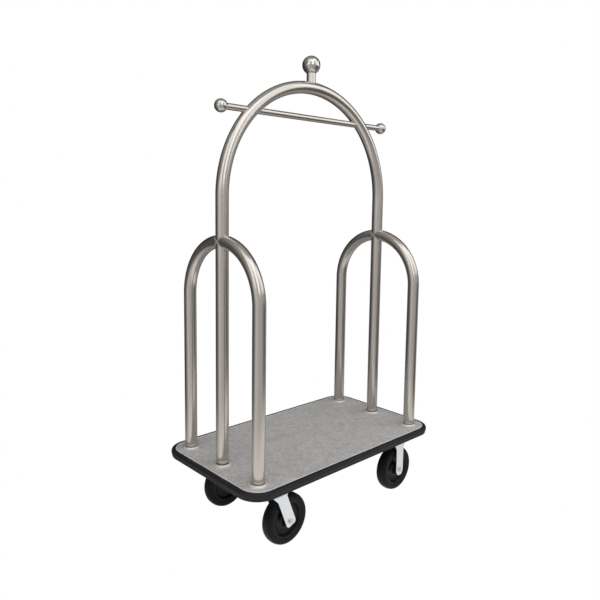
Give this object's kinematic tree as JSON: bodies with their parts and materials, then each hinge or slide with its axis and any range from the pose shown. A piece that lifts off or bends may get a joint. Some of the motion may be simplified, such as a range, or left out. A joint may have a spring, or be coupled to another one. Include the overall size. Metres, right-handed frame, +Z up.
{
  "type": "hotel luggage cart",
  "caption": "Hotel luggage cart: carpeted deck with bumper on swivel and rigid casters under a bent-tube frame with a hanging bar and ball finial.",
  "frame": {"origin": "on the floor, under the middle of the deck", "axes": "+Z up; X along the deck, +X towards the rigid casters and -X towards the swivel casters; Y across it, in the short direction"},
  "size_m": [1.086, 0.614, 1.9391],
  "materials": {
    "tube_steel": "lengthwise satin brushed stainless",
    "ball_steel": "polished stainless",
    "flange_steel": "satin stainless",
    "deck_board": "sealed plywood",
    "carpet": "grey needle-punched carpet",
    "trim": "satin aluminium strip",
    "bumper": "semi-gloss black vinyl",
    "undercarriage": "black enamel",
    "zinc_plate": "bright zinc plating on pressed steel",
    "tyre": "black moulded rubber",
    "wheel_hub": "charcoal moulded polyolefin",
    "bearing_steel": "ground bearing steel",
    "fastener": "zinc-plated steel"
  },
  "bodies": {
    "cart": {"back_left_top_plate": "zinc_plate", "back_right_fork": "zinc_plate", "bumper": "bumper", "carpet": "carpet", "caster_bolts": "fastener", "caster_channel_left": "undercarriage", "caster_channel_right": "undercarriage", "caster_weld_nuts": "fastener", "deck_board": "deck_board", "deck_screws": "fastener", "deck_trim": "trim", "finial_ball": "ball_steel", "finial_stem": "tube_steel", "front_left_top_plate": "zinc_plate", "front_right_fork": "zinc_plate", "hanger_ball_left": "ball_steel", "hanger_ball_right": "ball_steel", "hanger_bar": "tube_steel", "hoop_tube_back_left": "tube_steel", "hoop_tube_back_right": "tube_steel", "hoop_tube_front_left": "tube_steel", "hoop_tube_front_right": "tube_steel", "king_nuts": "fastener", "kingpins": "fastener", "lower_races": "bearing_steel", "main_arch": "tube_steel", "post_bolts": "fastener", "post_flanges": "flange_steel", "post_inserts": "fastener", "post_washers": "fastener", "rigid_axle_bolts": "fastener", "rigid_axle_bushings": "bearing_steel", "rigid_axle_nuts": "fastener", "stiffener_rail_back": "undercarriage", "stiffener_rail_front": "undercarriage", "upright_left": "tube_steel", "upright_right": "tube_steel"},
    "front_left_caster": {"front_left_fork": "zinc_plate", "front_left_axle_bolt": "fastener", "front_left_axle_nut": "fastener", "front_left_axle_bushing": "bearing_steel", "front_left_race_balls": "bearing_steel"},
    "back_left_caster": {"back_left_fork": "zinc_plate", "back_left_axle_bolt": "fastener", "back_left_axle_nut": "fastener", "back_left_axle_bushing": "bearing_steel", "back_left_race_balls": "bearing_steel"},
    "front_left_wheel": {"front_left_wheel_hub": "wheel_hub", "front_left_tyre": "tyre", "front_left_roller_bearing": "bearing_steel"},
    "back_left_wheel": {"back_left_wheel_hub": "wheel_hub", "back_left_tyre": "tyre", "back_left_roller_bearing": "bearing_steel"},
    "front_right_wheel": {"front_right_wheel_hub": "wheel_hub", "front_right_tyre": "tyre", "front_right_roller_bearing": "bearing_steel"},
    "back_right_wheel": {"back_right_wheel_hub": "wheel_hub", "back_right_tyre": "tyre", "back_right_roller_bearing": "bearing_steel"}
  },
  "joints": [
    {"name": "front_left_swivel", "type": "hinge", "parent": "cart", "child": "front_left_caster", "pos_m": [-0.35, -0.196, 0.2253], "axis": [0, 0, 1], "continuous": true},
    {"name": "front_left_spin", "type": "hinge", "parent": "front_left_caster", "child": "front_left_wheel", "pos_m": [-0.3, -0.196, 0.1016], "axis": [0, 1, 0], "continuous": true},
    {"name": "back_left_swivel", "type": "hinge", "parent": "cart", "child": "back_left_caster", "pos_m": [-0.35, 0.196, 0.2253], "axis": [0, 0, 1], "continuous": true},
    {"name": "back_left_spin", "type": "hinge", "parent": "back_left_caster", "child": "back_left_wheel", "pos_m": [-0.3, 0.196, 0.1016], "axis": [0, 1, 0], "continuous": true},
    {"name": "front_right_spin", "type": "hinge", "parent": "cart", "child": "front_right_wheel", "pos_m": [0.386, -0.196, 0.1016], "axis": [0, 1, 0], "continuous": true},
    {"name": "back_right_spin", "type": "hinge", "parent": "cart", "child": "back_right_wheel", "pos_m": [0.386, 0.196, 0.1016], "axis": [0, 1, 0], "continuous": true}
  ]
}
